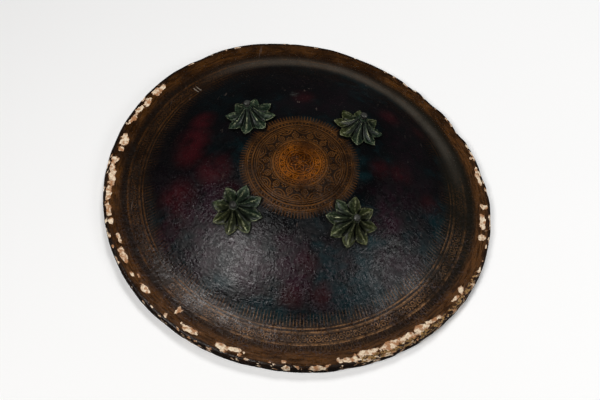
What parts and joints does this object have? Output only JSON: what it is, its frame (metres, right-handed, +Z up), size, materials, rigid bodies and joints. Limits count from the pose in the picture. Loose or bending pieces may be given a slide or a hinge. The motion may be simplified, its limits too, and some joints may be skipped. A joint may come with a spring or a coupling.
{
  "type": "round hide shield",
  "caption": "Round domed hide shield with a flared rim, flower bosses, a knuckle cushion and padded hand straps that swing on rings behind it.",
  "frame": {"origin": "on the ground under the crown, the shield lying face up on its rim", "axes": "+Z up, out of the face; +Y to the back of the picture; +X to its right; the straps run along Y"},
  "size_m": [0.4581, 0.4423, 0.0876],
  "materials": {
    "lacquered_hide": "worn lacquer, semi-gloss",
    "verdigris_bronze": "green patina",
    "worn_iron": "worn, forged",
    "old_brass": "tarnished",
    "strap_leather": "worn satin",
    "band_leather": "worn satin",
    "panel_leather": "matt",
    "cushion_velvet": "worn velvet"
  },
  "bodies": {
    "shield": {"hide_bowl": "lacquered_hide", "boss_back_left": "verdigris_bronze", "collar_back_left": "verdigris_bronze", "knob_back_left": "worn_iron", "eye_stem_back_left": "worn_iron", "washer_back_left": "old_brass", "boss_back_right": "verdigris_bronze", "collar_back_right": "verdigris_bronze", "knob_back_right": "worn_iron", "eye_stem_back_right": "worn_iron", "washer_back_right": "old_brass", "boss_front_right": "verdigris_bronze", "collar_front_right": "verdigris_bronze", "knob_front_right": "worn_iron", "eye_stem_front_right": "worn_iron", "washer_front_right": "old_brass", "boss_front_left": "verdigris_bronze", "collar_front_left": "verdigris_bronze", "knob_front_left": "worn_iron", "eye_stem_front_left": "worn_iron", "washer_front_left": "old_brass", "cushion_panel": "panel_leather", "knuckle_cushion": "cushion_velvet", "cushion_piping": "band_leather"},
    "left_strap": {"strap_left": "strap_leather", "keeper_back_left": "band_leather", "keeper_front_left": "band_leather"},
    "right_strap": {"strap_right": "strap_leather", "keeper_back_right": "band_leather", "keeper_front_right": "band_leather"},
    "back_left_ring": {"ring_back_left": "worn_iron"},
    "back_right_ring": {"ring_back_right": "worn_iron"},
    "front_right_ring": {"ring_front_right": "worn_iron"},
    "front_left_ring": {"ring_front_left": "worn_iron"}
  },
  "joints": [
    {"name": "left_strap_swing", "type": "hinge", "parent": "shield", "child": "left_strap", "pos_m": [-0.05958, 0, 0.04406], "axis": [0, -1, 0], "range_deg": [-45, 60]},
    {"name": "back_left_ring_swing", "type": "hinge", "parent": "shield", "child": "back_left_ring", "pos_m": [-0.05958, 0.0566, 0.04406], "axis": [0, -1, 0], "range_deg": [-45, 60]},
    {"name": "front_left_ring_swing", "type": "hinge", "parent": "shield", "child": "front_left_ring", "pos_m": [-0.05958, -0.0566, 0.04406], "axis": [0, -1, 0], "range_deg": [-45, 60]},
    {"name": "right_strap_swing", "type": "hinge", "parent": "shield", "child": "right_strap", "pos_m": [0.05958, 0, 0.04406], "axis": [0, 1, 0], "range_deg": [-45, 60]},
    {"name": "back_right_ring_swing", "type": "hinge", "parent": "shield", "child": "back_right_ring", "pos_m": [0.05958, 0.0566, 0.04406], "axis": [0, 1, 0], "range_deg": [-45, 60]},
    {"name": "front_right_ring_swing", "type": "hinge", "parent": "shield", "child": "front_right_ring", "pos_m": [0.05958, -0.0566, 0.04406], "axis": [0, 1, 0], "range_deg": [-45, 60]}
  ],
  "couplings": [
    {"joint": "back_left_ring_swing", "follows": "left_strap_swing", "ratio": 1},
    {"joint": "front_left_ring_swing", "follows": "left_strap_swing", "ratio": 1},
    {"joint": "back_right_ring_swing", "follows": "right_strap_swing", "ratio": 1},
    {"joint": "front_right_ring_swing", "follows": "right_strap_swing", "ratio": 1}
  ]
}
